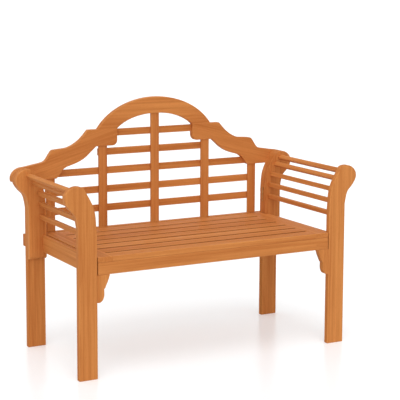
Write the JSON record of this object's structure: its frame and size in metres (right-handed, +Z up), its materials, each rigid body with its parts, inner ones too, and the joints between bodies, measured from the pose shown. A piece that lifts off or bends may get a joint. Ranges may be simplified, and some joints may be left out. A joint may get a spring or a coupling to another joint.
{
  "type": "folding garden bench",
  "caption": "Folding garden bench in oiled hardwood: stepped and arched crest, slatted back, scrolled slatted arms and a slatted seat that lifts.",
  "frame": {"origin": "on the floor, in the middle of the overall width and depth", "axes": "+Z up, the front faces -Y, +X to the right seen from the front"},
  "size_m": [1.199, 0.52, 0.925],
  "materials": {
    "oiled_hardwood": "planed and oiled, orange brown, straight grain",
    "dowel_wood": "plain turned dowel",
    "hinge_brass": "dulled brown with age",
    "screw_steel": "zinc plated"
  },
  "bodies": {
    "back_frame": {"back_bottom_rail": "oiled_hardwood", "back_hinge_screws": "hinge_brass", "back_screws": "screw_steel", "back_slat_1": "oiled_hardwood", "back_slat_2": "oiled_hardwood", "back_slat_3": "oiled_hardwood", "back_slat_4": "oiled_hardwood", "back_slat_5": "oiled_hardwood", "back_upright_1": "oiled_hardwood", "back_upright_2": "oiled_hardwood", "back_upright_3": "oiled_hardwood", "back_upright_4": "oiled_hardwood", "back_upright_5": "oiled_hardwood", "crest_arch": "oiled_hardwood", "crest_dowels": "dowel_wood", "crest_wing_left": "oiled_hardwood", "crest_wing_right": "oiled_hardwood", "rear_leg_left": "oiled_hardwood", "rear_leg_right": "oiled_hardwood", "seat_hinge_back_leaves": "hinge_brass", "seat_hinge_pins": "hinge_brass", "side_hinge_back_leaves": "hinge_brass", "side_hinge_pins": "hinge_brass"},
    "seat": {"seat_batten_left": "oiled_hardwood", "seat_batten_right": "oiled_hardwood", "seat_end_rail_left": "oiled_hardwood", "seat_end_rail_right": "oiled_hardwood", "seat_front_apron": "oiled_hardwood", "seat_front_rail": "oiled_hardwood", "seat_hinge_leaves": "hinge_brass", "seat_hinge_screws": "hinge_brass", "seat_slat_1": "oiled_hardwood", "seat_slat_2": "oiled_hardwood", "seat_slat_3": "oiled_hardwood", "seat_slat_4": "oiled_hardwood", "seat_slat_5": "oiled_hardwood", "seat_slat_6": "oiled_hardwood", "seat_slat_screws": "screw_steel"},
    "left_side_frame": {"arm_post_left": "oiled_hardwood", "arm_slat_left_1": "oiled_hardwood", "arm_slat_left_2": "oiled_hardwood", "arm_slat_left_3": "oiled_hardwood", "arm_slat_left_4": "oiled_hardwood", "arm_slat_left_5": "oiled_hardwood", "corner_bracket_left": "oiled_hardwood", "front_leg_left": "oiled_hardwood", "side_hinge_leaves_left": "hinge_brass", "side_hinge_screws_left": "hinge_brass", "side_rail_left": "oiled_hardwood"},
    "right_side_frame": {"arm_post_right": "oiled_hardwood", "arm_slat_right_1": "oiled_hardwood", "arm_slat_right_2": "oiled_hardwood", "arm_slat_right_3": "oiled_hardwood", "arm_slat_right_4": "oiled_hardwood", "arm_slat_right_5": "oiled_hardwood", "corner_bracket_right": "oiled_hardwood", "front_leg_right": "oiled_hardwood", "side_hinge_leaves_right": "hinge_brass", "side_hinge_screws_right": "hinge_brass", "side_rail_right": "oiled_hardwood"}
  },
  "joints": [
    {"name": "seat_fold", "type": "hinge", "parent": "back_frame", "child": "seat", "pos_m": [0, 0.233, 0.428], "axis": [-1, 0, 0], "range_deg": [0, 90]},
    {"name": "left_side_fold", "type": "hinge", "parent": "back_frame", "child": "left_side_frame", "pos_m": [-0.48, 0.216, 0.5], "axis": [0, 0, 1], "range_deg": [0, 0.38]},
    {"name": "right_side_fold", "type": "hinge", "parent": "back_frame", "child": "right_side_frame", "pos_m": [0.48, 0.216, 0.5], "axis": [0, 0, -1], "range_deg": [0, 0.38]}
  ]
}
